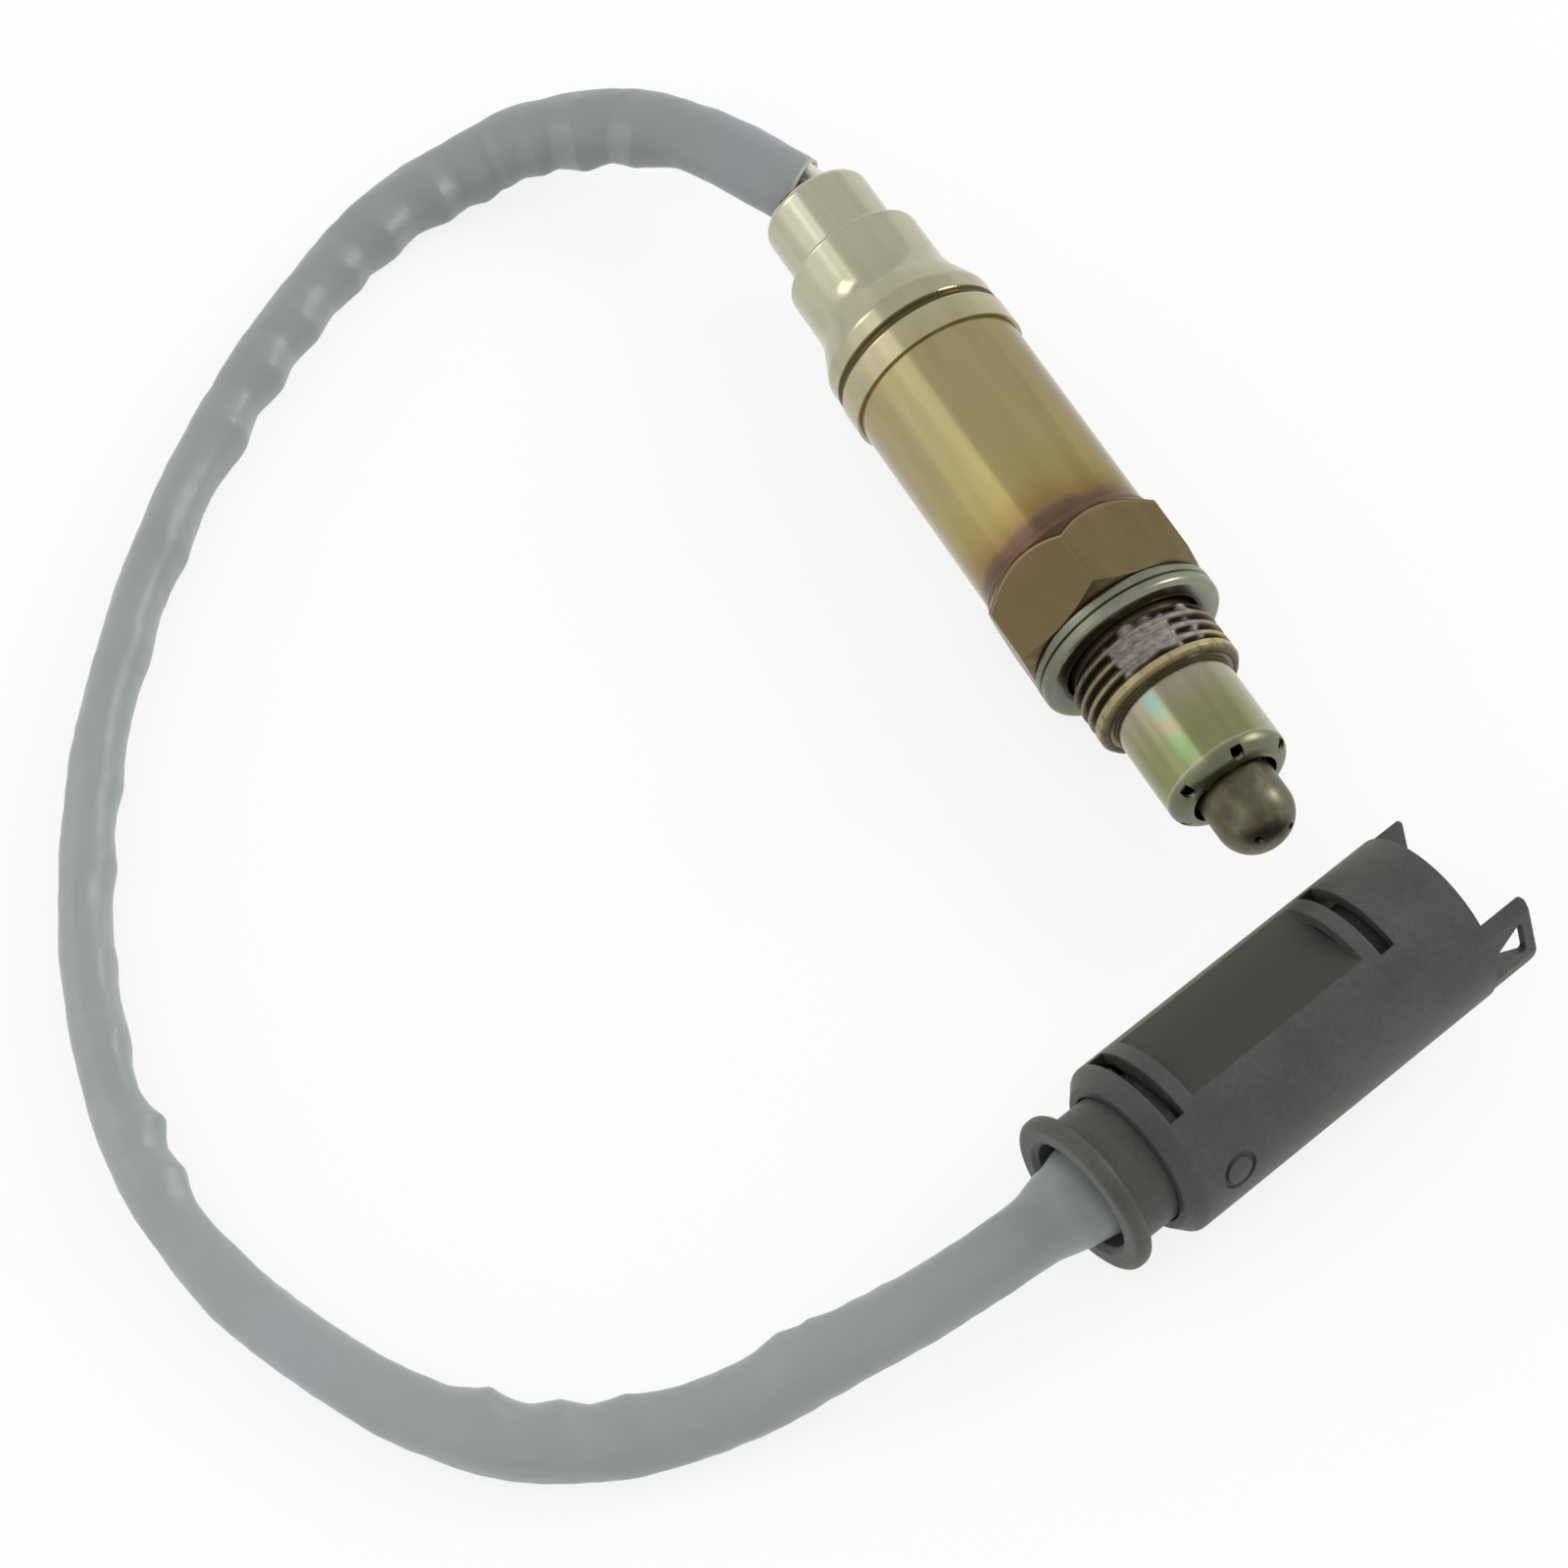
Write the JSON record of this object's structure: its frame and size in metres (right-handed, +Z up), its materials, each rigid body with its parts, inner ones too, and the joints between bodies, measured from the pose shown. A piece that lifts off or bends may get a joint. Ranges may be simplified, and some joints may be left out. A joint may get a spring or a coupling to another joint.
{
  "type": "oxygen sensor",
  "caption": "Heated exhaust oxygen sensor lying on its side: threaded hexagon body, ventilated tip, sheathed wire lead and round squeeze-release connector.",
  "frame": {"origin": "on the floor, under the middle of the sensor's box without its lead and connector", "axes": "+X along the sensor's axis toward its tip, +Z up from the floor; the lead runs round on the -Y side"},
  "size_m": [0.1668, 0.143, 0.0242],
  "materials": {
    "hex_steel": "heat-tinted steel, brown, satin",
    "seal_steel": "dull silver steel",
    "tube_steel": "olive, faintly iridescent steel",
    "dome_steel": "dark smoked steel",
    "sleeve_steel": "heat-tinted bronze steel, satin",
    "crimp_steel": "pale satin steel",
    "spring_steel": "bright steel",
    "contact_metal": "tinned contact strip",
    "zirconia": "white ceramic",
    "heater_ceramic": "pale grey ceramic",
    "insulator_ceramic": "cream ceramic",
    "powder": "pressed grey powder",
    "grommet_polymer": "black elastomer",
    "wire_white": "white insulation",
    "wire_grey": "grey insulation",
    "wire_black": "black insulation",
    "sheath": "grey soft sleeve, slightly glossy",
    "connector_plastic": "charcoal moulded plastic",
    "carrier_plastic": "charcoal moulded plastic",
    "seal_rubber": "black silicone"
  },
  "bodies": {
    "root": {"sensor_housing": "hex_steel", "seal_ring": "seal_steel", "outer_protection_tube": "tube_steel", "inner_protection_tube": "dome_steel", "sensing_element": "zirconia", "heater_rod": "heater_ceramic", "element_seal": "spring_steel", "powder_packing": "powder", "support_bush": "insulator_ceramic", "disc_spring": "spring_steel", "signal_contact": "contact_metal", "heater_contact_a": "contact_metal", "ground_contact": "contact_metal", "heater_contact_b": "contact_metal", "terminal_insulator": "insulator_ceramic", "protective_sleeve": "sleeve_steel", "crimp_sleeve": "crimp_steel", "cable_grommet": "grommet_polymer", "wire_signal": "wire_black", "wire_heater_a": "wire_white", "wire_ground": "wire_grey", "wire_heater_b": "wire_white", "cable_sheath": "sheath", "connector_shell": "connector_plastic", "contact_carrier": "carrier_plastic", "wire_seal": "seal_rubber", "contact_pin_1": "contact_metal", "contact_pin_2": "contact_metal", "contact_pin_3": "contact_metal", "contact_pin_4": "contact_metal"}
  },
  "joints": []
}
